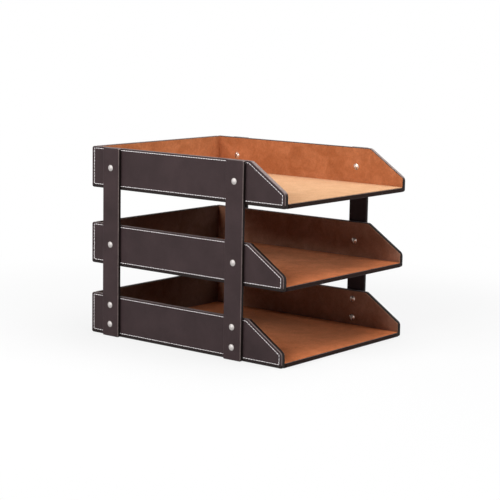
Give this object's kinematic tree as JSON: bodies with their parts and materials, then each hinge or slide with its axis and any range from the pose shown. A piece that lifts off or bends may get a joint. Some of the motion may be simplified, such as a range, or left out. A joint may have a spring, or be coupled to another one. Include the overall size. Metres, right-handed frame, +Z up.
{
  "type": "three-tier letter tray",
  "caption": "Stacked leather letter trays lined with suede, open at the front with sloped side walls, screwed to flat leather-wrapped posts, for sorting desk papers.",
  "frame": {"origin": "middle of the footprint, on the underside of the bottom tray and the posts", "axes": "+X to the right seen from the open front, +Y from the open front to the back wall, +Z up"},
  "size_m": [0.2826, 0.33, 0.256],
  "materials": {
    "dark_leather": "dark brown grained leather, satin",
    "tan_suede": "tan suede, matt nap",
    "fibreboard": "raw medium-density fibreboard",
    "seam_thread": "pale waxed sewing thread",
    "nickel": "polished nickel plate"
  },
  "bodies": {
    "root": {"bottom_floor_board": "fibreboard", "bottom_floor_cover": "dark_leather", "bottom_floor_lining": "tan_suede", "bottom_left_wall_board": "fibreboard", "bottom_left_wall_cover": "dark_leather", "bottom_left_wall_lining": "tan_suede", "bottom_left_seam_thread": "seam_thread", "bottom_right_wall_board": "fibreboard", "bottom_right_wall_cover": "dark_leather", "bottom_right_wall_lining": "tan_suede", "bottom_right_seam_thread": "seam_thread", "bottom_back_wall_board": "fibreboard", "bottom_back_wall_cover": "dark_leather", "bottom_back_wall_lining": "tan_suede", "bottom_back_seam_thread": "seam_thread", "middle_floor_board": "fibreboard", "middle_floor_cover": "dark_leather", "middle_floor_lining": "tan_suede", "middle_left_wall_board": "fibreboard", "middle_left_wall_cover": "dark_leather", "middle_left_wall_lining": "tan_suede", "middle_left_seam_thread": "seam_thread", "middle_right_wall_board": "fibreboard", "middle_right_wall_cover": "dark_leather", "middle_right_wall_lining": "tan_suede", "middle_right_seam_thread": "seam_thread", "middle_back_wall_board": "fibreboard", "middle_back_wall_cover": "dark_leather", "middle_back_wall_lining": "tan_suede", "middle_back_seam_thread": "seam_thread", "top_floor_board": "fibreboard", "top_floor_cover": "dark_leather", "top_floor_lining": "tan_suede", "top_left_wall_board": "fibreboard", "top_left_wall_cover": "dark_leather", "top_left_wall_lining": "tan_suede", "top_left_seam_thread": "seam_thread", "top_right_wall_board": "fibreboard", "top_right_wall_cover": "dark_leather", "top_right_wall_lining": "tan_suede", "top_right_seam_thread": "seam_thread", "top_back_wall_board": "fibreboard", "top_back_wall_cover": "dark_leather", "top_back_wall_lining": "tan_suede", "top_back_seam_thread": "seam_thread", "front_left_post_core": "fibreboard", "front_left_post_cover": "dark_leather", "front_right_post_core": "fibreboard", "front_right_post_cover": "dark_leather", "back_left_post_core": "fibreboard", "back_left_post_cover": "dark_leather", "back_right_post_core": "fibreboard", "back_right_post_cover": "dark_leather", "binding_barrels": "nickel", "binding_screws": "nickel"}
  },
  "joints": []
}
